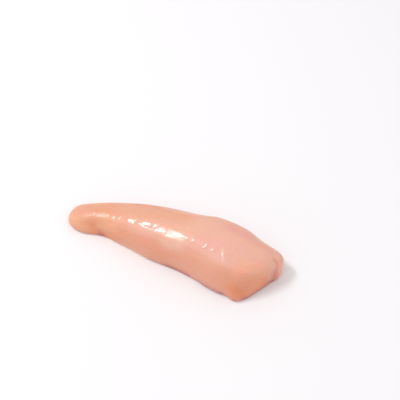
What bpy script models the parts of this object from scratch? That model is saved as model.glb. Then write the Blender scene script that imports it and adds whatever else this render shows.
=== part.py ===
"""Raw chicken breast: one boneless, skinless fillet that lies on its flat underside.

X runs along the fillet, from the rounded tail (-X) to the thick, blunt shoulder end (+X).
Y runs across it, from the steep side (-Y) to the thinner side (+Y), and Z is up.
Sizes below are in millimetres, and the mesh is made in metres.
"""

import math

import bmesh
import bpy
from mathutils import Vector, noise

MM = 0.001

# The length, and the plan of the fillet: (x, y) where each side runs.
TAIL_TIP = -95.4
SHOULDER_END = 91.1
STEEP_SIDE = [
    (-94, -17.8), (-80, -16.4), (-64, -11.7), (-44, -12.7), (-16, -18.6),
    (10, -20.3), (40, -26.1), (60, -28.3), (75, -28.8), (84, -30.9), (92, -34.2),
]
THIN_SIDE = [(-94, 17.2), (-80, 16.6), (-50, 23.4), (-20, 27.8), (12, 30.6), (30, 33.9), (50, 31.2), (70, 23.5), (92, 22.2)]

# The thickness: (x, y) where the crown of the muscle runs, (x, z) of its height, and how high each side's edge is.
CROWN_LINE = [(-94, -3), (-80, 0.5), (-62, 4.2), (-40, 5), (-16, 3.4), (10, 0), (40, -1.5), (65, -1.5), (94, 2)]
CROWN_HEIGHT = [(-94, 15), (-80, 18.5), (-60, 20.7), (-35, 25.6), (-5, 31), (12, 33.3), (30, 34), (60, 33.2), (94, 25)]
STEEP_EDGE_HEIGHT = 7.0
THIN_EDGE_HEIGHT = 7.0

# How square each curve of the form is: 2 is an ellipse, and more is squarer.
TAIL_SQUARENESS = 3.1
TAIL_FOOT_SQUARENESS = 4.2
STEEP_END_SQUARENESS = 7.0
STEEP_FOOT_SQUARENESS = 22.0
THIN_END_SQUARENESS = 6.0
THIN_FOOT_SQUARENESS = 8.0
STEEP_TOP_SQUARENESS = 2.15
THIN_TOP_SQUARENESS = 2.1
UNDERSIDE_SQUARENESS = 5.0

# Where one of those curves passes into the next, as places in a box that reaches from -1 to 1.
TAIL_TO_SHOULDER = (-0.6, 0.7)
STEEP_TO_THIN = (-0.9, 0.3)
FOOT_TO_TOP = (-0.8, 0.4)

# The blunt end is cut at a slant, back from the thin side to the steep side.
SLANT = 0.69
SLANT_STARTS = 20.0
SLANT_PIVOT = 5.5
SLANT_SOFTNESS = 8.0

# The underside sags flat onto what carries it.
SAG = 2.6
SAG_SOFTNESS = 1.2

# Soft ridges and creases that stand on the body: what it is, its path, how wide it is and how high.
RELIEF = [
    ("rolled lip of the cut end", [(80, 15, 22), (86, 14, 18), (89.5, 9, 12), (89, 3, 4)], 3.4, 1.0),
    ("crease inside the lip", [(82, 6, 20), (84.5, 4, 15), (85, 1, 10), (83, -3, 4)], 2.4, -1.3),
    ("shoulder of the muscle", [(54, -22, 32), (64, -18, 31), (71, -6, 29)], 8.0, 1.2),
    ("hollow under the shoulder", [(70, -26, 14), (77, -10, 17)], 7.0, -1.2),
    ("hollow under the tail", [(-70, -9.5, 9), (-59, -10.5, 8)], 6.0, -1.6),
    ("dip by the thin side", [(46, 18, 26), (60, 14, 26)], 9.0, -1.0),
    ("rim of the thin side", [(-40, 23, 13), (-10, 27, 16), (24, 31, 17)], 3.2, 0.9),
]

# Bundles of muscle that run along the fillet, and the slow unevenness of the whole form.
BUNDLE_LENGTH, BUNDLE_WIDTH, BUNDLE_HEIGHT = 70.0, 15.0, 0.7
UNEVEN_SPACING, UNEVEN_HEIGHT = 32.0, 0.9

# The wet, pale peach flesh.
FLESH_COLOUR = "EFB8A2"
FLESH_ROUGHNESS = 0.3

# Quads along, across and up the box that the fillet is shaped from.
QUADS = (50, 24, 11)


def smooth_step(span, value):
    """0 below the span and 1 above it, with a smooth rise between them."""
    low, high = span
    t = min(1.0, max(0.0, (value - low) / (high - low)))
    return t * t * (3.0 - 2.0 * t)


def mix(a, b, share):
    return a + (b - a) * share


def along(stations, x):
    """The value at x of a smooth curve through (x, value) stations."""
    if x <= stations[0][0]:
        return stations[0][1]
    if x >= stations[-1][0]:
        return stations[-1][1]
    here = max(i for i, station in enumerate(stations) if station[0] <= x)

    def slope(i):
        before, after = stations[max(i - 1, 0)], stations[min(i + 1, len(stations) - 1)]
        return (after[1] - before[1]) / (after[0] - before[0])

    (x0, y0), (x1, y1) = stations[here], stations[here + 1]
    step = x1 - x0
    t = (x - x0) / step
    return (
        y0 * (2 * t**3 - 3 * t**2 + 1)
        + slope(here) * step * (t**3 - 2 * t**2 + t)
        + y1 * (3 * t**2 - 2 * t**3)
        + slope(here + 1) * step * (t**3 - t**2)
    )


def on_superellipse(a, b, squareness):
    """The point of the unit superellipse in the direction (a, b), for a and b of 0 or more."""
    reach = (a**squareness + b**squareness) ** (1.0 / squareness)
    return a / reach, b / reach


def end_squareness(box):
    """How square the fillet's end is, seen from above and from the side, at a point of the box."""
    above_foot = smooth_step(FOOT_TO_TOP, box.z)
    tail = mix(TAIL_FOOT_SQUARENESS, TAIL_SQUARENESS, above_foot)
    steep = mix(STEEP_FOOT_SQUARENESS, STEEP_END_SQUARENESS, above_foot)
    thin = mix(THIN_FOOT_SQUARENESS, THIN_END_SQUARENESS, above_foot)
    shoulder = mix(steep, thin, smooth_step(STEEP_TO_THIN, box.y))
    return mix(tail, shoulder, smooth_step(TAIL_TO_SHOULDER, box.x))


def section_squareness(box):
    """How square the fillet's cross-section is at a point of the box."""
    if box.z < 0:
        return UNDERSIDE_SQUARENESS
    return STEEP_TOP_SQUARENESS if box.y < 0 else THIN_TOP_SQUARENESS


def body_point(box):
    """Where a point of the box from -1 to 1 lands on the smooth body of the fillet."""
    girth = max(abs(box.y), abs(box.z))
    lengthwise, closing = on_superellipse(abs(box.x), girth, end_squareness(box))
    middle, half_length = (TAIL_TIP + SHOULDER_END) / 2, (SHOULDER_END - TAIL_TIP) / 2
    x = middle + half_length * math.copysign(lengthwise, box.x)

    sideways, upwards = on_superellipse(abs(box.y), abs(box.z), section_squareness(box))
    crown_y = along(CROWN_LINE, x)
    side_y = along(STEEP_SIDE if box.y < 0 else THIN_SIDE, x)
    y = crown_y + closing * sideways * (side_y - crown_y)

    to_thin_side = smooth_step((-1.0, 1.0), math.copysign(sideways, box.y))
    edge_z = mix(STEEP_EDGE_HEIGHT, THIN_EDGE_HEIGHT, to_thin_side)
    reach_z = along(CROWN_HEIGHT, x) - edge_z if box.z > 0 else -(edge_z + SAG)
    z = edge_z + closing * upwards * reach_z

    past_pivot = SLANT_PIVOT - y
    cut_back = SLANT * (past_pivot + math.hypot(past_pivot, SLANT_SOFTNESS)) / 2
    x -= cut_back * smooth_step((SLANT_STARTS, SHOULDER_END), x)
    return Vector((x, y, z))


def rested(z):
    """Lifts a height that lies below the table to 0, with a soft bend just above it."""
    if z >= SAG_SOFTNESS:
        return z
    if z <= -SAG_SOFTNESS:
        return 0.0
    return (z + SAG_SOFTNESS) ** 2 / (4 * SAG_SOFTNESS)


def distance_to_path(point, path):
    """How far the point is from a line through the path's points."""
    nearest = math.inf
    for start, end in zip(path, path[1:]):
        start, run = Vector(start), Vector(end) - Vector(start)
        share = min(1.0, max(0.0, (point - start).dot(run) / run.length_squared))
        nearest = min(nearest, (point - start - run * share).length)
    return nearest


def relief(point):
    """How far the surface stands out from the smooth body at this point."""
    height = sum(high * math.exp(-((distance_to_path(point, path) / wide) ** 2)) for _, path, wide, high in RELIEF)
    bundles = Vector((point.x / BUNDLE_LENGTH, point.y / BUNDLE_WIDTH, point.z / BUNDLE_WIDTH))
    height += BUNDLE_HEIGHT * noise.noise(bundles)
    height += UNEVEN_HEIGHT * noise.noise(point / UNEVEN_SPACING)
    return height


def box_mesh():
    """A closed box from -1 to 1, cut into even quads."""
    bm = bmesh.new()
    bmesh.ops.create_cube(bm, size=2.0)
    for axis, count in enumerate(QUADS):
        normal = Vector([float(k == axis) for k in range(3)])
        for i in range(1, count):
            everything = bm.verts[:] + bm.edges[:] + bm.faces[:]
            bmesh.ops.bisect_plane(bm, geom=everything, plane_co=normal * (2.0 * i / count - 1.0), plane_no=normal)
    return bm


def centre_on_base(bm):
    """Moves the middle of the fillet's box to the origin, and leaves its base at z = 0."""
    middle = Vector()
    for axis in (0, 1):
        places = [vert.co[axis] for vert in bm.verts]
        middle[axis] = (min(places) + max(places)) / 2
    bmesh.ops.translate(bm, vec=-middle, verts=bm.verts[:])


def linear_colour(hex_code):
    """The linear RGBA of an sRGB hex colour."""
    channels = [int(hex_code[i : i + 2], 16) / 255 for i in (0, 2, 4)]
    return [c / 12.92 if c <= 0.04045 else ((c + 0.055) / 1.055) ** 2.4 for c in channels] + [1.0]


def flesh_material():
    material = bpy.data.materials.new("raw_chicken")
    material.use_nodes = True
    principled = material.node_tree.nodes["Principled BSDF"]
    principled.inputs["Base Color"].default_value = linear_colour(FLESH_COLOUR)
    principled.inputs["Roughness"].default_value = FLESH_ROUGHNESS
    principled.inputs["Metallic"].default_value = 0.0
    return material


def build_breast():
    bm = box_mesh()
    for vert in bm.verts:
        vert.co = body_point(vert.co)
    bmesh.ops.recalc_face_normals(bm, faces=bm.faces[:])
    bm.normal_update()

    raised = {vert: vert.co + vert.normal * relief(vert.co) for vert in bm.verts}
    for vert, point in raised.items():
        vert.co = Vector((point.x, point.y, rested(point.z))) * MM
    centre_on_base(bm)

    mesh = bpy.data.meshes.new("chicken_breast")
    bm.to_mesh(mesh)
    bm.free()
    mesh.shade_smooth()
    mesh.materials.append(flesh_material())
    breast = bpy.data.objects.new("chicken_breast", mesh)
    bpy.context.scene.collection.objects.link(breast)


for old in list(bpy.data.objects):
    bpy.data.objects.remove(old)
build_breast()
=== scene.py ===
# %% [markdown]
# # Raw chicken breast
#
# This scene gives a raw chicken breast its looks. The real thing is the large breast muscle of a
# chicken, boned and skinned: a wet, pale peach fillet, thick and blunt at the shoulder and drawn out to
# a rounded tail. Three things make it look real: a form with no straight line in it, a fine grain that
# breaks up the wet gloss, and flesh that lets some light in.
#
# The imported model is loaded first, and everything is then made around it, in metres and in its frame:
# X runs from the tail to the shoulder, Y runs across, Z is up, and the fillet lies on z = 0.

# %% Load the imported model
import math

import bmesh
import bpy
import numpy as np
from mathutils import Matrix, Vector


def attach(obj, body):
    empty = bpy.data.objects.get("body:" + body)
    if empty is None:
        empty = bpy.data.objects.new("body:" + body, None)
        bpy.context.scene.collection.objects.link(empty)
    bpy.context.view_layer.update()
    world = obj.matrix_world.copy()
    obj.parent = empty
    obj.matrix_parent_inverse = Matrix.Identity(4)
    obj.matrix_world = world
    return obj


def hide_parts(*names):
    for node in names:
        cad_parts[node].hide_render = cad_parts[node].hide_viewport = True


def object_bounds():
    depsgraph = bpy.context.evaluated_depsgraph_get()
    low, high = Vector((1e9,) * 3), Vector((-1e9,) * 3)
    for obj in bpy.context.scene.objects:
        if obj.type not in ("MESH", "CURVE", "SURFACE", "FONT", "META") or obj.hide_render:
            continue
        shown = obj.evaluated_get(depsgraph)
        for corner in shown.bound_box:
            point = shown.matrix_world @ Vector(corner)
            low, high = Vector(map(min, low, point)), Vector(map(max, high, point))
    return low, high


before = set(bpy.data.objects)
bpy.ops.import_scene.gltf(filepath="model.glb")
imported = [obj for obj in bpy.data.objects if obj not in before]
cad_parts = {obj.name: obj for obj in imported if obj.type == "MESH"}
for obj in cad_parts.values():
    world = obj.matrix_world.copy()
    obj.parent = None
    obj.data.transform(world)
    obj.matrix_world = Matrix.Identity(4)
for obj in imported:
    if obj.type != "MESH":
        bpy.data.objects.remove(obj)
cad_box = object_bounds()
scene = bpy.context.scene
MM = 0.001
breast_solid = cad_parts["chicken_breast"]
print("the packed model's box, in metres:", [[round(c, 4) for c in corner] for corner in cad_box])

# %% [markdown]
# ## Camera
#
# The fillet is seen through a long lens that looks down at about 50 degrees, and lies from the upper
# left of the picture to the lower right. A short lens from close by would make its near end look
# swollen, and an 85 mm lens from 0.82 m keeps the perspective gentle. The camera is aimed at a point on
# the table behind the fillet, which puts the fillet low in the picture with no lens shift.

# %% Place the camera
CAMERA_AZIMUTH = math.radians(22)
CAMERA_ELEVATION = math.radians(50)
CAMERA_DISTANCE = 820 * MM
CAMERA_TARGET = Vector((1.1, 56.2, 0)) * MM
LENS_MM = 85
SENSOR_MM = 36

camera_side = Vector((
    math.sin(CAMERA_AZIMUTH) * math.cos(CAMERA_ELEVATION),
    -math.cos(CAMERA_AZIMUTH) * math.cos(CAMERA_ELEVATION),
    math.sin(CAMERA_ELEVATION),
))
camera_data = bpy.data.cameras.new("camera")
camera_data.lens = LENS_MM
camera_data.sensor_width = SENSOR_MM
camera = bpy.data.objects.new("camera", camera_data)
camera.location = CAMERA_TARGET + camera_side * CAMERA_DISTANCE
camera.rotation_euler = camera_side.to_track_quat("Z", "Y").to_euler()
scene.collection.objects.link(camera)
scene.camera = camera
print("camera at", [round(c, 3) for c in camera.location])

# %% [markdown]
# ## Colours and nodes
#
# Colours are written as they look on screen, as sRGB hex, and one function turns them to the linear
# values that Blender computes with. Another adds one node to a tree. Its settings are given by name.
# Its inputs are given by name or number, each fed by a node, by one of a node's outputs, or by a value.

# %% Two helpers for node trees
def linear(hex_code):
    channels = [int(hex_code[i : i + 2], 16) / 255 for i in (0, 2, 4)]
    return [c / 12.92 if c <= 0.04045 else ((c + 0.055) / 1.055) ** 2.4 for c in channels] + [1.0]


def add_node(tree, kind, inputs=None, **settings):
    node = tree.nodes.new(kind)
    for name, setting in settings.items():
        setattr(node, name, setting)
    for name, value in (inputs or {}).items():
        if isinstance(name, int):
            socket = node.inputs[name]
        else:
            socket = next(s for s in node.inputs if s.enabled and s.name == name)
        if isinstance(value, bpy.types.Node):
            value = next(s for s in value.outputs if s.enabled)
        if isinstance(value, bpy.types.NodeSocket):
            tree.links.new(value, socket)
        else:
            socket.default_value = value
    return node


print("peach in linear light:", [round(c, 3) for c in linear("EDB69D")])

# %% [markdown]
# ## The table
#
# A plain, matt, near-white board, large enough to fill the picture from any side. It isn't part of the
# fillet.

# %% Make the table
TABLE_SIZE = 6.0
TABLE_WHITE = "F6F4F6"

bpy.ops.mesh.primitive_plane_add(size=TABLE_SIZE)
table = bpy.context.object
table.name = "table"
board = bpy.data.materials.new("matt white board")
board.use_nodes = True
board_surface = board.node_tree.nodes["Principled BSDF"]
board_surface.inputs["Base Color"].default_value = linear(TABLE_WHITE)
board_surface.inputs["Roughness"].default_value = 0.9
board_surface.inputs["Specular IOR Level"].default_value = 0.1
table.data.materials.append(board)
print("table", TABLE_SIZE, "m wide")

# %% [markdown]
# ## Light
#
# Three things light the fillet, as in a small food studio. A strip softbox hangs to the left and above.
# Its mirror image is the bright streak along the crown of the muscle, so its angle decides where the
# streak lies and its width decides how thick the streak is. A broader, weaker one stands to the right
# and lights the cut end, and pale walls all round fill the shadows. A sun lamp would need less setting
# up, but its mirror image is a dot and not a streak.

# %% Hang the lights
def hang_softbox(name, direction, distance, size, power, long_side):
    """A softbox that faces the fillet, its long side turned along long_side, in metres and watts."""
    light = bpy.data.lights.new(name, "AREA")
    light.shape = "RECTANGLE"
    light.size, light.size_y = size
    light.energy = power
    away = Vector(direction).normalized()
    along = (Vector(long_side) - away * away.dot(Vector(long_side))).normalized()
    softbox = bpy.data.objects.new(name, light)
    softbox.location = away * distance
    softbox.rotation_euler = Matrix((along, away.cross(along), away)).transposed().to_euler()
    scene.collection.objects.link(softbox)
    print(name, "at", [round(c, 2) for c in softbox.location])


hang_softbox(
    "strip softbox", direction=(-0.53, -0.1, 0.84), distance=1.6,
    size=(0.56, 0.3), power=9.5, long_side=(0.4, -0.88, 0.25),
)
hang_softbox(
    "side softbox", direction=(0.9, -0.25, 0.36), distance=2.2,
    size=(1.4, 1.4), power=3.5, long_side=(0, 1, 0),
)

WALL_STRENGTH = 0.76
walls = bpy.data.worlds.new("pale walls")
walls.use_nodes = True
walls.node_tree.nodes["Background"].inputs["Color"].default_value = linear("FFFFFF")
walls.node_tree.nodes["Background"].inputs["Strength"].default_value = WALL_STRENGTH
scene.world = walls
scene.view_settings.view_transform = "Standard"

# %% [markdown]
# ## The body of the fillet
#
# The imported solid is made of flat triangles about 3 mm across. A copy of it is made whole again by
# merging the corners that its triangles share. A voxel remesh then covers it with even quads about the
# size of a grain of salt, and many rounds of smoothing take the facets away. Subdividing the triangles
# would keep their pattern in the gloss, and sculpting by hand couldn't be run again.

# %% Remesh and smooth a copy of the solid
SAME_CORNER = 0.01 * MM
FLESH_VOXEL = 0.58 * MM
SMOOTHING_ROUNDS = 40
SMOOTHING_FACTOR = 0.5


def evaluated_mesh(piece):
    """The piece's mesh with its modifiers applied, as a plain mesh."""
    bpy.context.view_layer.update()
    depsgraph = bpy.context.evaluated_depsgraph_get()
    return bpy.data.meshes.new_from_object(piece.evaluated_get(depsgraph))


breast = bpy.data.objects.new("raw_chicken_breast", breast_solid.data.copy())
scene.collection.objects.link(breast)
welded = bmesh.new()
welded.from_mesh(breast.data)
bmesh.ops.remove_doubles(welded, verts=welded.verts[:], dist=SAME_CORNER)
welded.to_mesh(breast.data)
welded.free()

remesh = breast.modifiers.new("even quads", "REMESH")
remesh.mode = "VOXEL"
remesh.voxel_size = FLESH_VOXEL
smooth = breast.modifiers.new("no facets", "SMOOTH")
smooth.factor = SMOOTHING_FACTOR
smooth.iterations = SMOOTHING_ROUNDS
smooth_mesh = evaluated_mesh(breast)
breast.modifiers.clear()
breast.data = smooth_mesh
print("quads:", len(smooth_mesh.polygons))

# %% [markdown]
# ## Points as rows of numbers
#
# A mesh of this size is quick to shape when all its points are handled at once, as one table of x, y
# and z in millimetres. Four small functions read the points and normals, put the points back, and keep
# a number for each point on the mesh, where a material or a node tree can read it by name.

# %% Helpers for the mesh's points
def points_mm(mesh):
    flat = np.empty(len(mesh.vertices) * 3, np.float32)
    mesh.vertices.foreach_get("co", flat)
    return flat.reshape(-1, 3).astype(float) / MM


def normals_of(mesh):
    flat = np.empty(len(mesh.vertices) * 3, np.float32)
    mesh.vertex_normals.foreach_get("vector", flat)
    return flat.reshape(-1, 3).astype(float)


def move_points(mesh, points):
    mesh.vertices.foreach_set("co", (points * MM).astype(np.float32).ravel())
    mesh.update()


def store(mesh, name, values):
    """Keeps a number, or a row of three numbers, for each point of the mesh."""
    vector = values.ndim == 2
    attribute = mesh.attributes.new(name, "FLOAT_VECTOR" if vector else "FLOAT", "POINT")
    attribute.data.foreach_set("vector" if vector else "value", values.astype(np.float32).ravel())


points = points_mm(smooth_mesh)
print("length, width and thickness in mm:", np.round(np.ptp(points, axis=0), 1))

# %% [markdown]
# ## Full size again
#
# Smoothing draws a round form in by a few tenths of a millimetre, so every point above the foot moves
# back out by that much. Soft meat also spreads a little where it meets the board, so no dark gap shows
# under its edge, and smoothing has rounded that edge off. Points near the table move out sideways, by
# most of what a round of this radius leaves out under a straight wall. The flat underside, which
# doesn't face sideways, stays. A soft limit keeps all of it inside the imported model's box.

# %% Fill the form out and spread the foot
DRAWN_IN = 0.35
CLEAR_OF_TABLE = (1, 5)
FOOT_ROUND = 2.6
FOOT_SHARE = 0.85
FACES_SIDEWAYS = (0.05, 0.5)
SOFT_LIMIT = 0.6
box_low, box_high = (np.array(corner) / MM for corner in cad_box)


def rise(value, low, high):
    """0 below low and 1 above high, with a smooth rise between them."""
    t = np.clip((value - low) / (high - low), 0, 1)
    return t * t * (3 - 2 * t)


def within_box(points):
    """The points, with those near the box's sides or past them drawn in softly."""
    reach = (box_high - box_low) / 2
    middle = (box_high + box_low) / 2
    past = np.abs(points - middle) - (reach - SOFT_LIMIT)
    eased = np.where(past > 0, SOFT_LIMIT * np.tanh(past / SOFT_LIMIT), past)
    inside = middle + np.sign(points - middle) * (reach - SOFT_LIMIT + eased)
    upper_half = points[:, 2] > middle[2]
    inside[:, 2] = np.where(upper_half, inside[:, 2], np.maximum(points[:, 2], box_low[2]))
    return inside


facing = normals_of(smooth_mesh)
points = points + facing * (DRAWN_IN * rise(points[:, 2], *CLEAR_OF_TABLE))[:, None]
sideways = facing[:, :2]
sideways_share = np.linalg.norm(sideways, axis=1)
below = np.clip(FOOT_ROUND - points[:, 2], 0, FOOT_ROUND)
left_out = FOOT_ROUND - np.sqrt(FOOT_ROUND**2 - below**2)
turned_out = rise(sideways_share, *FACES_SIDEWAYS) / np.maximum(sideways_share, FACES_SIDEWAYS[0])
spread = sideways * (FOOT_SHARE * left_out * turned_out)[:, None]
points[:, :2] += spread
points = within_box(points)
move_points(smooth_mesh, points)
print("the foot moved out by up to", round(float(np.linalg.norm(spread, axis=1).max()), 2), "mm")

# %% [markdown]
# ## Which way the grain runs
#
# Muscle is bundles of fibres that run from end to end. They crowd together where the fillet narrows,
# so a pattern laid straight along X would look like a printed wrap. Each point gets its own grain
# coordinates instead: how far along it is, and how far across and up, scaled by the fillet's width and
# thickness there. The blunt end is a cut through the fibres, so from where it starts the scale stays
# the same. The coordinates are kept on the mesh, and everything that follows the grain reads them.

# %% Lay out the grain
FULL_WIDTH, FULL_THICKNESS = 65.0, 34.0
LEAST_WIDTH, LEAST_THICKNESS = 30.0, 18.0
CUT_STARTS = 56.0
SLICE = 2.0

slices = np.arange(points[:, 0].min() + SLICE, CUT_STARTS, SLICE)
middle, width, thickness = [], [], []
for x in slices:
    near = points[np.abs(points[:, 0] - x) < SLICE]
    middle.append((near[:, 1].min() + near[:, 1].max()) / 2)
    width.append(max(LEAST_WIDTH, np.ptp(near[:, 1])))
    thickness.append(max(LEAST_THICKNESS, near[:, 2].max()))
x, y, z = points.T
grain = np.stack([
    x,
    (y - np.interp(x, slices, middle)) * FULL_WIDTH / np.interp(x, slices, width),
    z * FULL_THICKNESS / np.interp(x, slices, thickness),
], axis=1)
store(smooth_mesh, "grain", grain)
print("before the cut, widest", round(max(width), 1), "mm, thickest", round(max(thickness), 1), "mm")

# %% [markdown]
# ## Folds and creases
#
# At the blunt end the muscle was cut from the shoulder. A thin band of flesh rolls over the cut's edge,
# with a crease inside it and a hollow beside that. A short pinch crosses the shoulder, and a film of
# connective tissue ends in a low rim along the thinner side. A few small puckers stand on the
# shoulder, and two short notches cross the crown.
#
# Folds like these could be sculpted by hand, or drawn as a height map. Here each is a path over the
# surface, which is easy to move and gives the same shape on every run. It has a width and a height that
# die away from it: points near the path move out along their normals, or in.

# %% Follow a path over the surface
def smooth_path(corners, steps=6):
    """Points along a smooth curve through the corners."""
    corners = np.array(corners, float)
    padded = np.vstack([2 * corners[0] - corners[1], corners, 2 * corners[-1] - corners[-2]])
    path = []
    for a, b, c, d in zip(padded, padded[1:], padded[2:], padded[3:]):
        slope, bend, twist = c - a, 2 * a - 5 * b + 4 * c - d, 3 * b - a - 3 * c + d
        for t in np.linspace(0, 1, steps, endpoint=False):
            path.append(0.5 * (2 * b + slope * t + bend * t**2 + twist * t**3))
    return np.array(path + [corners[-1]])


def offset_from_path(points, corners):
    """From the path to each point, how far along the path that is, and the path's length."""
    path = smooth_path(corners)
    lengths = np.linalg.norm(np.diff(path, axis=0), axis=1)
    nearest = np.full(len(points), np.inf)
    offset, place = np.zeros(points.shape), np.zeros(len(points))
    for start, end, length, before in zip(path, path[1:], lengths, np.cumsum(lengths) - lengths):
        share = np.clip((points - start) @ (end - start) / length**2, 0, 1)
        away = points - start - share[:, None] * (end - start)
        distance = np.linalg.norm(away, axis=1)
        closer = distance < nearest
        offset[closer] = away[closer]
        place[closer] = (before + share * length)[closer]
        nearest[closer] = distance[closer]
    return offset, place, lengths.sum()


def near_path(points, corners, reach, fade=0.0):
    """1 on the path and nothing a few times reach away, fading in and out over fade at its ends."""
    offset, place, length = offset_from_path(points, corners)
    shown = np.exp(-((offset**2).sum(axis=1)) / reach**2)
    if fade:
        shown = shown * rise(place, 0, fade) * rise(length - place, 0, fade)
    return shown


print("a path of 3 corners has", len(smooth_path([(0, 0, 0), (1, 0, 0), (2, 1, 0)])), "points")

# %% Lay paths where the folds run
LIP_CREASE = [(83.9, 2.9, 24.3), (87.6, 3, 21.2), (89.3, 1.5, 17.6), (88.7, 0.3, 11.5), (88.3, -1.4, 4)]
LIP_BAND = [
    (82.1, 10.1, 23.7), (85.9, 10.9, 21.2), (89.8, 9.7, 18.6),
    (91.6, 6.5, 15.6), (91.5, 3.9, 9), (90.6, 2, 3),
]
LIP_FOOT = [(90.6, 6, 9), (91, 3, 4), (89.5, -1.5, 2.5), (87.5, -4.5, 2.5)]
CUT_HOLLOW = [(84.1, 1, 24), (86.7, -2.2, 20), (87.6, -2.7, 14.4), (86.8, -2.5, 7)]
SHOULDER_RIDGE = [
    (59.7, -21.9, 24.6), (66.1, -17.8, 26), (73.8, -10.5, 26.8), (78.6, -5, 26.2), (81.6, 2.9, 25.8),
]
CORNER_RIDGE = [(61.1, -21.4, 24.7), (63.4, -24.5, 19.2), (66.5, -27.7, 11.4), (69.3, -30, 5)]
PINCH = [(47.3, -9.8, 32.8), (48.4, -12.6, 31.9), (49.3, -14.7, 31.1), (50.4, -17.3, 29.8)]
UNDER_STREAK = [(7.2, -13.3, 27.7), (10, -12.7, 28.8), (12.3, -11.9, 29.8), (14.9, -10.7, 31)]
FRONT_FOOT = [(33, -25.5, 3), (44, -28, 3), (54, -29.5, 3)]
END_FOOT = [(72, -27, 5), (78, -19, 5), (84, -9, 5)]
TAIL_HOLLOW = [(-76.9, -13.9, 11.5), (-69.9, -12.8, 10.7), (-63.4, -11.3, 10), (-56.2, -10.3, 13)]
FILM_RIM = [
    (-34, 19.6, 18.7), (-26, 18.9, 21.2), (-18, 17.9, 23.5), (-9.7, 17.2, 25.5),
    (9.5, 18.2, 27), (21.1, 21.7, 25), (30, 24, 24.8),
]
PUCKERS = [
    [(17.8, -9.3, 32), (17.3, -9.8, 31.8)],
    [(23, -9.7, 32.5), (23.6, -10.9, 32)],
    [(34.4, -9.8, 32.9), (33.4, -12, 32), (32, -13.4, 31.2)],
    [(42.2, -11.4, 32.4), (39.8, -13, 31.7)],
]
NOTCHES = [
    [(-31.6, -1.6, 25.3), (-29.6, -6.8, 24.3)],
    [(-12, -4, 29.3), (-10, -9.2, 28)],
]
print("puckers:", len(PUCKERS), "and notches:", len(NOTCHES))

# %% Press the folds into the surface
# Each fold's path, how wide it is and how high it stands, in millimetres.
FOLDS = [
    (LIP_CREASE, 1.4, -0.45),
    (LIP_BAND, 2.6, 0.3),
    (CUT_HOLLOW, 2.8, -0.5),
    (SHOULDER_RIDGE, 4.5, 0.5),
    (CORNER_RIDGE, 3.0, 0.4),
    (LIP_FOOT, 4.0, 0.8),
    (PINCH, 0.8, 0.34),
    (UNDER_STREAK, 0.8, 0.18),
    (FRONT_FOOT, 4.0, 0.5),
    (END_FOOT, 4.0, 0.4),
    (TAIL_HOLLOW, 5.0, -0.25),
]
FOLD_FADE = 3.0
FILM_WIDTH, FILM_HEIGHT, FILM_FADE = 1.2, 0.22, 12.0
PUCKER_WIDTH, PUCKER_HEIGHT = 0.9, 0.28
NOTCH_WIDTH, NOTCH_DEPTH = 0.8, 0.07

heights = sum(high * near_path(points, path, wide, FOLD_FADE) for path, wide, high in FOLDS)
heights += FILM_HEIGHT * near_path(points, FILM_RIM, FILM_WIDTH, FILM_FADE)
heights += PUCKER_HEIGHT * sum(near_path(points, path, PUCKER_WIDTH) for path in PUCKERS)
heights -= NOTCH_DEPTH * sum(near_path(points, path, NOTCH_WIDTH) for path in NOTCHES)
points = points + normals_of(smooth_mesh) * heights[:, None]
move_points(smooth_mesh, points)
print("lowest", round(float(heights.min()), 2), "mm, highest", round(float(heights.max()), 2), "mm")

# %% [markdown]
# The streak of light is thin where the muscle is round and broad where it is flat. Real meat is never
# evenly round, because it has lain on a board and been handled. Some places along the crown and on
# both sides of the shoulder's turn are pressed flatter here: near a path, points move towards a plane
# that faces one way, at their own mean height. Those along the crown face about halfway between the
# camera and the strip softbox, as any place does that mirrors it. On the tail they are tiny, and show as
# beads of light. The film over the crown is slack as well, most of all on the tail, and the number
# kept for that tells the relief below where to ripple. A flatten brush would press such places in by
# hand, but here the width and the depth of each are numbers that can be set to fit the light.

# %% Choose the places
TAIL_CROWN = [(-75.9, -5.3, 15.5), (-59.9, -2.5, 18.6), (-43.9, -4.5, 21.7)]
MIDDLE_CROWN = [(-16, -5.5, 28.2), (-5.3, -7.6, 29.5), (12.1, -9, 31.4)]
TOP_OF_END = [(58.1, -14.3, 29.5), (66.1, -9.3, 29.3), (73.1, -3.3, 28)]
END_FACE = [(67.1, -26.3, 12), (73.1, -21.3, 14), (79.1, -14.3, 14), (82.1, -9.3, 12)]
SLACK_WIDTH = 5.0
MIDDLE_SLACK = 0.55
TO_LIGHT = (-0.14, -0.38, 0.92)

# Where each bead lies, and how much of its roundness is pressed out.
BEADS = [
    (-70.5, -4, 16.9, 1.0),
    (-66.1, -3.3, 17.6, 0.6),
    (-61.4, -2.5, 18.4, 1.0),
    (-57.4, -3.1, 19, 0.6),
    (-51.6, -4, 19.9, 0.45),
    (-46, -4.3, 21.2, 0.45),
]
BEAD_REACH = 1.4
BEAD_HALF_LENGTH = 0.4

# Each flat place's path, how far it reaches, how much of its roundness is pressed out and which way it
# faces.
FLATS = [
    ([(-37, -4.4, 23.6), (-29.5, -4.4, 24.8)], 2.9, 0.95, TO_LIGHT),
    ([(-28, -5.2, 25.5), (-22.5, -5.2, 26.3), (-16.5, -5.4, 27.3)], 2.7, 0.75, TO_LIGHT),
    ([(-14.8, -5.4, 28.2), (-12.4, -5.6, 28.6)], 2.0, 0.75, TO_LIGHT),
    ([(-13, -5.8, 28.3), (-8.5, -7.2, 28.9), (-4, -8.4, 29.4)], 2.4, 0.42, TO_LIGHT),
    ([(-0.5, -9.6, 29.5), (3.5, -9.8, 30), (7.5, -9.8, 30.7)], 4.0, 0.86, TO_LIGHT),
    (TOP_OF_END, 7.0, 0.4, (0.2, -0.35, 0.91)),
    (END_FACE, 8.0, 0.4, (0.74, -0.63, 0.24)),
]

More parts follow.
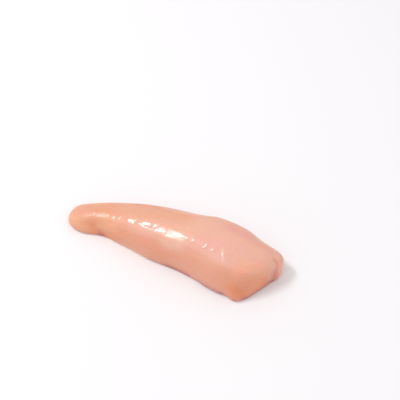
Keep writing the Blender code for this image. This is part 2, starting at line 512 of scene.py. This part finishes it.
bead_paths = []
for x, y, z, share in BEADS:
    path = [(x - BEAD_HALF_LENGTH, y, z), (x + BEAD_HALF_LENGTH, y, z)]
    bead_paths.append(path)
    FLATS.append((path, BEAD_REACH, share, TO_LIGHT))
print("places to press flatter:", len(FLATS))

# %% Press them flatter
for path, reach, share, faces in FLATS:
    faces = np.array(faces) / np.linalg.norm(faces)
    offset, _, length = offset_from_path(points, path)
    nearness = np.exp(-((offset**2).sum(axis=1)) / reach**2)
    height = offset @ faces
    pressed = share * nearness * (height - (nearness * height).sum() / nearness.sum())
    points = points - pressed[:, None] * faces
    print(round(length, 1), "mm long, moved by up to", round(float(np.abs(pressed).max()), 2), "mm")
move_points(smooth_mesh, points)

# %% Note where the film is slack
slack = near_path(points, TAIL_CROWN, SLACK_WIDTH)
slack = slack + MIDDLE_SLACK * near_path(points, MIDDLE_CROWN, SLACK_WIDTH)
store(smooth_mesh, "slack", np.clip(slack, 0, 1))
print("the film is slack over", round(100 * float(np.clip(slack, 0, 1).mean()), 1), "percent")

# %% [markdown]
# ## A pattern that follows the grain
#
# The grain shows three times: in the relief, in the colour and in the gloss. Each is noise that is
# stretched along the fibres, so one function adds that pattern to a tree, for a patch of a given length
# and width in millimetres. The fourth coordinate of the noise is a fixed seed, which makes each pattern
# its own. Noise mostly stays between a quarter and three quarters, and is spread out from there.

# %% A pattern for both kinds of tree
NOISE_LOW, NOISE_HIGH = 0.25, 0.75


def grain_noise(tree, place, length, across, detail, seed):
    """Noise from about -1 to 1 in patches this long along the grain and this wide across it."""
    patch = add_node(tree, "ShaderNodeCombineXYZ", {"X": length, "Y": across, "Z": across})
    shares = add_node(tree, "ShaderNodeVectorMath", {0: place, 1: patch}, operation="DIVIDE")
    cloud = add_node(
        tree, "ShaderNodeTexNoise", {"Vector": shares, "W": seed, "Scale": 1.0, "Detail": detail},
        noise_dimensions="4D",
    )
    return add_node(
        tree, "ShaderNodeMapRange",
        {"Value": cloud, "From Min": NOISE_LOW, "From Max": NOISE_HIGH, "To Min": -1.0, "To Max": 1.0},
        clamp=False,
    )


print("noise from", NOISE_LOW, "to", NOISE_HIGH, "becomes a pattern from -1 to 1")

# %% [markdown]
# ## The relief of the muscle
#
# Up close the surface is never smooth. Bundles of fibres swell under it, single fibres draw fine lines
# along it, and where the muscle has relaxed the film over it puckers into small ripples, which break
# the wet streak into beads. Bump in the material would be quicker, but the mesh itself would stay
# smooth. Each of the three follows one rule, so a Geometry Nodes tree makes them: it adds the heights
# up and moves each point along its normal. The tree's inputs are real sizes in millimetres.

# %% Start the tree, with its sizes as inputs
RELIEF_SIZES = {
    "Bundle length": 60.0,
    "Bundle width": 9.0,
    "Bundle height": 0.12,
    "Fibre length": 20.0,
    "Fibre width": 1.8,
    "Fibre height": 0.02,
    "Ripple spacing": 2.8,
    "Ripple length": 6.5,
    "Ripple height": 0.3,
    "Ripple elsewhere": 0.06,
    "Ripple patch": 16.0,
}

relief = bpy.data.node_groups.new("muscle relief", "GeometryNodeTree")
relief.interface.new_socket("Geometry", in_out="INPUT", socket_type="NodeSocketGeometry")
for name, size in RELIEF_SIZES.items():
    size_input = relief.interface.new_socket(name, in_out="INPUT", socket_type="NodeSocketFloat")
    size_input.default_value = size
relief.interface.new_socket("Material", in_out="INPUT", socket_type="NodeSocketMaterial")
relief.interface.new_socket("Geometry", in_out="OUTPUT", socket_type="NodeSocketGeometry")
given = add_node(relief, "NodeGroupInput").outputs
along_grain = add_node(
    relief, "GeometryNodeInputNamedAttribute", {"Name": "grain"}, data_type="FLOAT_VECTOR"
)
print("sizes the tree takes:", len(RELIEF_SIZES))

# %% [markdown]
# The bundles and the fibres run with the grain. The ripples run slantwise over it, like the folds of a
# sleeve, so their coordinates are turned first. They come and go in patches, and are high only where
# the crown is slack.

# %% Add the bundles, the fibres and the ripples
RIPPLE_TURN = math.radians(26)

bundles = grain_noise(
    relief, along_grain, given["Bundle length"], given["Bundle width"], detail=2, seed=3.1
)
fibres = grain_noise(
    relief, along_grain, given["Fibre length"], given["Fibre width"], detail=3, seed=9.4
)
turned = add_node(
    relief, "ShaderNodeVectorRotate", {"Vector": along_grain, "Angle": RIPPLE_TURN},
    rotation_type="Z_AXIS",
)
ripples = grain_noise(
    relief, turned, given["Ripple spacing"], given["Ripple length"], detail=1, seed=5.8
)
patches = grain_noise(
    relief, along_grain, given["Ripple patch"], given["Ripple patch"], detail=1, seed=1.7
)
rippled = add_node(
    relief, "ShaderNodeMapRange",
    {"Value": patches, "From Min": -0.5, "From Max": 0.5, "To Min": 0.25, "To Max": 1.0},
    interpolation_type="SMOOTHSTEP",
)
slack_here = add_node(relief, "GeometryNodeInputNamedAttribute", {"Name": "slack"}, data_type="FLOAT")
ripple_most = add_node(
    relief, "ShaderNodeMapRange",
    {"Value": slack_here, "To Min": given["Ripple elsewhere"], "To Max": given["Ripple height"]},
)
print("nodes so far:", len(relief.nodes))

# %% Add their heights up
bundle_relief = add_node(
    relief, "ShaderNodeMath", {0: bundles, 1: given["Bundle height"]}, operation="MULTIPLY"
)
with_fibres = add_node(
    relief, "ShaderNodeMath", {0: fibres, 1: given["Fibre height"], 2: bundle_relief},
    operation="MULTIPLY_ADD",
)
ripple_height = add_node(relief, "ShaderNodeMath", {0: rippled, 1: ripple_most}, operation="MULTIPLY")
relief_mm = add_node(
    relief, "ShaderNodeMath", {0: ripples, 1: ripple_height, 2: with_fibres}, operation="MULTIPLY_ADD"
)
print("nodes so far:", len(relief.nodes))

# %% Move the points and end the tree
relief_metres = add_node(relief, "ShaderNodeMath", {0: relief_mm, 1: MM}, operation="MULTIPLY")
outwards = add_node(
    relief, "ShaderNodeVectorMath",
    {0: add_node(relief, "GeometryNodeInputNormal"), "Scale": relief_metres},
    operation="SCALE",
)
raised = add_node(
    relief, "GeometryNodeSetPosition", {"Geometry": given["Geometry"], "Offset": outwards}
)
realized = add_node(relief, "GeometryNodeRealizeInstances", {"Geometry": raised})
finished = add_node(
    relief, "GeometryNodeSetMaterial", {"Geometry": realized, "Material": given["Material"]}
)
add_node(relief, "NodeGroupOutput", {"Geometry": finished})
print("nodes in the tree:", len(relief.nodes))

# %% [markdown]
# ## Wet raw flesh
#
# Raw chicken breast is pale, slightly see-through muscle with a film of water and protein on it. Light
# enters it, spreads a few millimetres, red furthest, and comes out again, which subsurface scattering
# gives. The film is a clear coat with little roughness. The colour drifts between peach and pink, and
# thin pale streaks follow the fibres. A picture of real meat could be wrapped round the fillet instead,
# but it would bring its own light with it and stretch at the two ends.

# %% Start the flesh with its drifting colour
PEACH = "EDB69D"
PINK = "EDB2A3"
PALE = "F4CAB6"

flesh = bpy.data.materials.new("wet raw chicken flesh")
flesh.use_nodes = True
flesh_tree = flesh.node_tree
flesh_surface = flesh_tree.nodes["Principled BSDF"]
flesh_grain = add_node(flesh_tree, "ShaderNodeAttribute", attribute_name="grain").outputs["Vector"]

drift = add_node(
    flesh_tree, "ShaderNodeMapRange",
    {
        "Value": grain_noise(flesh_tree, flesh_grain, length=34, across=16, detail=2, seed=2.3),
        "From Min": -0.6, "From Max": 0.6,
    },
    interpolation_type="SMOOTHSTEP",
)
streaks = add_node(
    flesh_tree, "ShaderNodeMapRange",
    {
        "Value": grain_noise(flesh_tree, flesh_grain, length=26, across=2.4, detail=3, seed=4.9),
        "From Min": 0.0, "From Max": 1.2, "To Max": 0.1,
    },
)
peach_or_pink = add_node(
    flesh_tree, "ShaderNodeMix",
    {"Factor": drift, "A": linear(PEACH), "B": linear(PINK)},
    data_type="RGBA",
)
flesh_colour = add_node(
    flesh_tree, "ShaderNodeMix",
    {"Factor": streaks, "A": peach_or_pink, "B": linear(PALE)},
    data_type="RGBA",
)
print("nodes in the material so far:", len(flesh_tree.nodes))

# %% [markdown]
# Some colours belong to a place, and some are painted light and shade. The steep sides are painted
# deeper, as shade. The cut end and the hollow under the tail are more orange, partly their own tone and
# partly painted shade. The hollow and the crease beside the lip are a darker rose, painted shade. A pale
# film ends along the thinner side, painted highlights lie on the pinch, the lip's top, a barb of the
# streak and a smear under it, and lighter patches on the tail and on the shoulder's turn are painted
# light. The plum strokes at the foot are partly blood and partly painted contact shadow. Each of these
# is laid over the drifting colour by as much as a number on the mesh says. The numbers are painted
# further down, once the relief is there.

# %% Lay the colours of places over it
PLACE_COLOURS = {
    "warm": "E6A584",
    # Painted shade on the steep sides and along the turn of the back.
    "painted_shade": "E29B7D",
    # The flesh's own orange, and painted shade on faces turned from the light.
    "orange_and_shade": "E18B5B",
    "pink": "E9A094",
    # Painted shade, in a rosy tone, in the hollow and the crease beside the lip.
    "rosy_shade": "D98878",
    # Painted light on the ridge of the shoulder's turn.
    "painted_light_on_turn": "F5AB8B",
    # Painted light on the tail.
    "painted_light_on_tail": "F6CBA6",
    # The pale film's edge, and painted highlights.
    "film_and_highlight": "F6D3C4",
    # Blood, and painted contact shadow at the foot.
    "plum_blood_and_shade": "A8464E",
}

# A mix node has an output for each kind of value, and this one is the colour.
MIXED_COLOUR = 2

for place, colour in PLACE_COLOURS.items():
    how_much = add_node(flesh_tree, "ShaderNodeAttribute", attribute_name=place).outputs["Fac"]
    flesh_colour = add_node(
        flesh_tree, "ShaderNodeMix",
        {"Factor": how_much, "A": flesh_colour, "B": linear(colour)},
        data_type="RGBA",
    )
flesh_tree.links.new(flesh_colour.outputs[MIXED_COLOUR], flesh_surface.inputs["Base Color"])
print("places with a colour of their own:", len(PLACE_COLOURS))

# %% [markdown]
# The flesh is duller where it is drier. Fine pores, about a millimetre apart, are too low for the mesh
# and are bump. The clear film over them is smoother, so it takes less of the bump. It is thicker in
# some patches than in others, and a number on the mesh says where it has nearly dried off.

# %% Let light in and wet the surface
PORE_SPACING = 0.9
PORE_DEPTH = 0.05 * MM
BUMP_ON_FLESH, BUMP_ON_FILM = 0.2, 0.1

dryness = add_node(
    flesh_tree, "ShaderNodeMapRange",
    {
        "Value": grain_noise(flesh_tree, flesh_grain, length=9, across=6, detail=2, seed=7.7),
        "From Min": -1.0, "From Max": 1.0, "To Min": 0.34, "To Max": 0.48,
    },
)
flesh_tree.links.new(dryness.outputs[0], flesh_surface.inputs["Roughness"])
flesh_surface.inputs["IOR"].default_value = 1.45
flesh_surface.inputs["Subsurface Weight"].default_value = 0.6
flesh_surface.inputs["Subsurface Radius"].default_value = (1.0, 0.38, 0.22)
flesh_surface.inputs["Subsurface Scale"].default_value = 3.5 * MM
flesh_surface.inputs["Coat Roughness"].default_value = 0.11
flesh_surface.inputs["Coat IOR"].default_value = 1.55

film_patches = add_node(
    flesh_tree, "ShaderNodeMapRange",
    {
        "Value": grain_noise(flesh_tree, flesh_grain, length=4, across=2.2, detail=1, seed=8.8),
        "From Min": -0.5, "From Max": 0.5, "To Min": 0.35, "To Max": 1.0,
    },
)
wet_places = add_node(flesh_tree, "ShaderNodeAttribute", attribute_name="wet").outputs["Fac"]
wetness = add_node(flesh_tree, "ShaderNodeMath", {0: film_patches, 1: wet_places}, operation="MULTIPLY")
flesh_tree.links.new(wetness.outputs[0], flesh_surface.inputs["Coat Weight"])

pores = grain_noise(flesh_tree, flesh_grain, PORE_SPACING, PORE_SPACING, detail=2, seed=6.1)
flesh_bump = add_node(
    flesh_tree, "ShaderNodeBump", {"Height": pores, "Strength": BUMP_ON_FLESH, "Distance": PORE_DEPTH}
)
film_bump = add_node(
    flesh_tree, "ShaderNodeBump", {"Height": pores, "Strength": BUMP_ON_FILM, "Distance": PORE_DEPTH}
)
flesh_tree.links.new(flesh_bump.outputs[0], flesh_surface.inputs["Normal"])
flesh_tree.links.new(film_bump.outputs[0], flesh_surface.inputs["Coat Normal"])
print("nodes in the material:", len(flesh_tree.nodes))

# %% [markdown]
# ## Raise the relief
#
# The tree goes on the smoothed mesh as a modifier. Its inputs are set by their identifiers before it is
# first evaluated, and the result becomes a plain mesh. Where the relief has pushed points of the
# underside down through the table, they are then put back on it.

# %% Run the tree and keep the result
breast.data.shade_smooth()
raise_relief = breast.modifiers.new("muscle relief", "NODES")
raise_relief.node_group = relief
for socket in relief.interface.items_tree:
    if socket.in_out == "INPUT" and socket.name in RELIEF_SIZES:
        raise_relief[socket.identifier] = RELIEF_SIZES[socket.name]
    elif socket.in_out == "INPUT" and socket.name == "Material":
        raise_relief[socket.identifier] = flesh
grained_mesh = evaluated_mesh(breast)
breast.modifiers.clear()
breast.data = grained_mesh
grained_mesh.name = "raw_chicken_breast"

relief_points = points_mm(grained_mesh)
points = np.clip(relief_points, box_low, box_high)
move_points(grained_mesh, points)
print("points moved back by up to", round(float(np.abs(points - relief_points).max()), 2), "mm")
print("triangles:", sum(len(p.vertices) - 2 for p in grained_mesh.polygons))

# %% [markdown]
# ## Where the colour changes
#
# A number from 0 to 1 is worked out for each point and each colour: from how steep the surface is, from
# how far along the fillet it lies, or from how near it lies to a path. Painting them by hand with a
# brush would be quicker once, but couldn't be run again after a change of shape.

# %% Lay paths where the colours lie
TOP_BACK = [(-60, 5, 21), (-36, 6, 24), (-5, 9, 29.3), (4, 11, 30.2)]
BACK_TURN = [(-60, 14.5, 15.5), (-45, 16, 19), (-31, 17.5, 21), (-22, 17.5, 23), (-8, 17, 26.5)]
BACK_FLUSH = [(47, 15, 29), (58, 13.4, 28.4), (66, 10, 28.6)]
FILM_EDGE = [(-20, 18.1, 23.2), (-11, 16.8, 25.6), (9.5, 18.2, 27), (21.1, 21.7, 25), (28, 23.5, 24.9)]
TAIL_FLUSH = [(-81.4, -0.8, 14.4), (-75.9, -3.5, 16)]
TAIL_YELLOW = [(-77, -12.6, 11.6), (-69, -11.5, 10.6)]
TAIL_LIGHT = [(-89, -11, 9), (-80, -14.5, 8), (-76, -13.5, 8)]
TAIL_SPOT = [(-62.6, -11.6, 6.2), (-59.2, -11.6, 3.7)]
HOLLOW_LIGHT = [(-62, -10.2, 12), (-56, -10.2, 13), (-49, -10, 15.5)]
# Where painted highlights lie: a smear under the streak and a barb beside it.
UNDER_LIGHT = [(0, -15, 24.8), (5.6, -15, 25.7), (12, -14.6, 27.4)]
HIGHLIGHT_BARB = [(8.8, -14.2, 27.1), (13, -11.7, 30), (16.3, -9.2, 31.9)]
TURN_LIGHT = [(63.1, -19.3, 26), (69.6, -16.8, 25.5), (75.1, -12.8, 25), (79.1, -8.3, 24)]
CORNER_SPOT = [(61.1, -29, 11.6), (66.1, -29.3, 7)]
LIP_SPOT = [(73.5, 9, 27.3), (82.6, 7.5, 24.5)]
LIP_FACE = [(88.2, -1.6, 15), (88, -1.8, 9), (86.5, -4, 4)]
LIP_TOP = [(82.1, 10.1, 23.7), (85.9, 10.9, 21.2)]

# For each colour: a path, how far the colour reaches from it and fades in at its ends, in millimetres,
# and how strong it is on the path.
STROKES = {
    "warm": [(TOP_BACK, 10, 0, 0.85)],
    # Painted shade along the turn of the back edge.
    "painted_shade": [(BACK_TURN, 4.5, 0, 0.8)],
    # Partly the flesh's own orange and partly painted shade: on the end face, its foot, the corner and
    # the hollow under the tail, which face away from the strip softbox.
    "orange_and_shade": [
        (TAIL_YELLOW, 5, 0, 0.22),
        (END_FACE, 9, 0, 0.78),
        (END_FOOT, 5, 0, 0.5),
        (CORNER_SPOT, 5, 0, 0.3),
        (LIP_SPOT, 4, 0, 0.15),
    ],
    "pink": [(BACK_FLUSH, 7, 0, 0.65), (TAIL_FLUSH, 5, 0, 0.5)],
    # Painted shade, in a rosy tone, in the hollow and the crease beside the lip and on the rolled band.
    "rosy_shade": [(LIP_FACE, 5, 0, 0.55), (LIP_CREASE, 1.8, FOLD_FADE, 0.55), (LIP_BAND, 3, 0, 0.32)],
    # A painted pool of light on the ridge where the shoulder turns down to the cut end.
    "painted_light_on_turn": [(TURN_LIGHT, 4.5, 0, 0.6)],
    # Painted light on the lower front of the tail and beside its hollow.
    "painted_light_on_tail": [(TAIL_LIGHT, 6, 0, 0.36), (HOLLOW_LIGHT, 5, 0, 0.28)],
    # A pale line where the film ends along the thinner side, and painted highlights: a barb of the
    # streak, a smear under it, the lip's top and the pinch.
    "film_and_highlight": [
        (FILM_EDGE, 1.6, FILM_FADE, 0.35),
        (HIGHLIGHT_BARB, 0.9, 2, 0.5),
        (UNDER_LIGHT, 5, 0, 0.38),
        (LIP_TOP, 3, 0, 0.25),
        (PINCH, 1, 0, 0.58),
    ],
    # A plum spot at the tail's foot, partly blood and partly painted contact shadow.
    "plum_blood_and_shade": [(TAIL_SPOT, 2, 0, 0.2)],
}
print("strokes of colour:", sum(len(strokes) for strokes in STROKES.values()))

# %% Paint the strokes
def painted(points, strokes):
    """How strong the strokes are at each point, all together."""
    strengths = 0
    for path, reach, fade, strength in strokes:
        strengths = strengths + strength * near_path(points, path, reach, fade)
    return strengths


places = {name: painted(points, strokes) for name, strokes in STROKES.items()}
print("colours painted:", ", ".join(places))

# %% [markdown]
# The tail is warmer all over. Both long sides are painted deeper where they are steep, as painted
# shade, because they face away from the light, and the front one is painted more orange, also as
# shade, from its middle to the tail.

# %% Add what depends on the form
FRONT_IS_STEEP, BACK_IS_STEEP = (0.5, 1.0), (0.2, 0.95)
# How strong the painted shade is on the steep sides.
STEEP_IS_DEEPER = 0.9
# How strong the painted orange shade is on the steep front.
FRONT_ORANGE = 0.25

# From where to where each change comes in, in millimetres towards the tail.
TAIL_TURNS_WARM = (0, 70)
FRONT_TURNS_ORANGE = (-25, 10)

normals = normals_of(grained_mesh)
towards_tail = -points[:, 0]
front_side = rise(-normals[:, 1], *FRONT_IS_STEEP)
back_side = rise(normals[:, 1], *BACK_IS_STEEP)
orange_front = FRONT_ORANGE * front_side * rise(towards_tail, *FRONT_TURNS_ORANGE)
places["warm"] = np.maximum(rise(towards_tail, *TAIL_TURNS_WARM), places["warm"])
# The steep sides get their painted shade.
places["painted_shade"] = STEEP_IS_DEEPER * np.maximum(front_side, back_side) + places["painted_shade"]
# The steep front gets painted orange shade.
places["orange_and_shade"] = places["orange_and_shade"] + orange_front
print("steep on the front side:", round(100 * float(front_side.mean()), 1), "percent")

# %% [markdown]
# Dark plum strokes run along the foot, partly blood that has settled there and partly painted contact
# shadow where the flesh meets the table, stronger in some places than in others. Two patterns of bent
# waves are laid over them, so that none of them is as even as a drawn line.

# %% Add the blood and the painted contact shadow along the foot
# Each stroke's path and how strong it is.
BLOOD_AND_FOOT_SHADE = [
    ([(-62.5, -11.9, 1), (-60, -11.8, 1)], 0.55),
    ([(-12, -20, 2), (-3, -20.4, 2)], 0.3),
    ([(3, -20.7, 2), (8, -20.9, 2), (21, -22.7, 2)], 0.75),
    ([(24, -23.3, 2), (31, -25.4, 2)], 0.3),
    ([(35, -26.4, 2), (44, -28.6, 2), (54, -29.8, 2)], 0.8),
    ([(59, -31.2, 2), (65, -32, 2)], 0.3),
    ([(72.1, -28.3, 1.5), (79.1, -17.3, 1.5), (85.1, -6.3, 1.5), (89.1, -0.3, 2.5)], 0.6),
]
BLOOD_AND_SHADE_REACH = 3.0

# How much each pattern changes the strokes.
SLANT_SHARE, BLOTCH_SHARE = 0.13, 0.15

# Waves are in millimetres for one radian, and bends are in radians.
SLANT = 1.6
SLANT_WAVE, SLANT_BEND, SLANT_BEND_WAVE = 1.9, 2.5, 6.1
BLOTCH_WAVE_UP, BLOTCH_WAVE_ALONG, BLOTCH_BEND, BLOTCH_BEND_WAVE = 0.8, 2.3, 1.5, 3.3

x, z = points[:, 0], points[:, 2]
blood_and_shade = sum(strength * near_path(points, path, BLOOD_AND_SHADE_REACH) for path, strength in BLOOD_AND_FOOT_SHADE)
slanted = np.sin((x + SLANT * z) / SLANT_WAVE + SLANT_BEND * np.sin(x / SLANT_BEND_WAVE))
blotched = np.sin(z / BLOTCH_WAVE_UP + BLOTCH_BEND * np.sin(x / BLOTCH_BEND_WAVE))
blotched = blotched * np.sin(x / BLOTCH_WAVE_ALONG)
ragged = 1 + SLANT_SHARE * slanted + BLOTCH_SHARE * blotched
# Blood and painted contact shadow along the foot.
places["plum_blood_and_shade"] = ragged * blood_and_shade + places["plum_blood_and_shade"]
print("strongest blood:", round(float(places["plum_blood_and_shade"].max()), 2))

# %% [markdown]
# The film of water has nearly dried off on the tail and on the top's far half, so neither mirrors the
# softbox. The beads and the puckers keep it, which is why they sparkle there.

# %% Say where the film is wet, and keep every number on the mesh
BEAD_WET_REACH = 1.2
TAIL_TURNS_DRY, TAIL_DRY = (38, 48), 0.75
FACES_FAR_SIDE, FAR_DRY = (-0.15, 0.5), 0.95
FAR_SLOPE, PAST_FAR_SLOPE = 1.2, (0, 0.5)

beads = sum(near_path(points, path, BEAD_WET_REACH) for path in PUCKERS + bead_paths)
down_far_side = rise(normals[:, 1] - FAR_SLOPE * normals[:, 2], *PAST_FAR_SLOPE)
far_top = rise(normals[:, 1], *FACES_FAR_SIDE) * (1 - down_far_side)
dried = np.maximum(TAIL_DRY * rise(towards_tail, *TAIL_TURNS_DRY), FAR_DRY * far_top)
places["wet"] = 1 - dried * (1 - np.clip(beads, 0, 1))
for name, values in places.items():
    store(grained_mesh, name, np.clip(values, 0, 1))
    print(name, "covers", round(100 * float(np.clip(values, 0, 1).mean()), 1), "percent")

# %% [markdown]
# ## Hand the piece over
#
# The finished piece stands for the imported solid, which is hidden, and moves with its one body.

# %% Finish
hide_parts("chicken_breast")
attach(breast, "root")
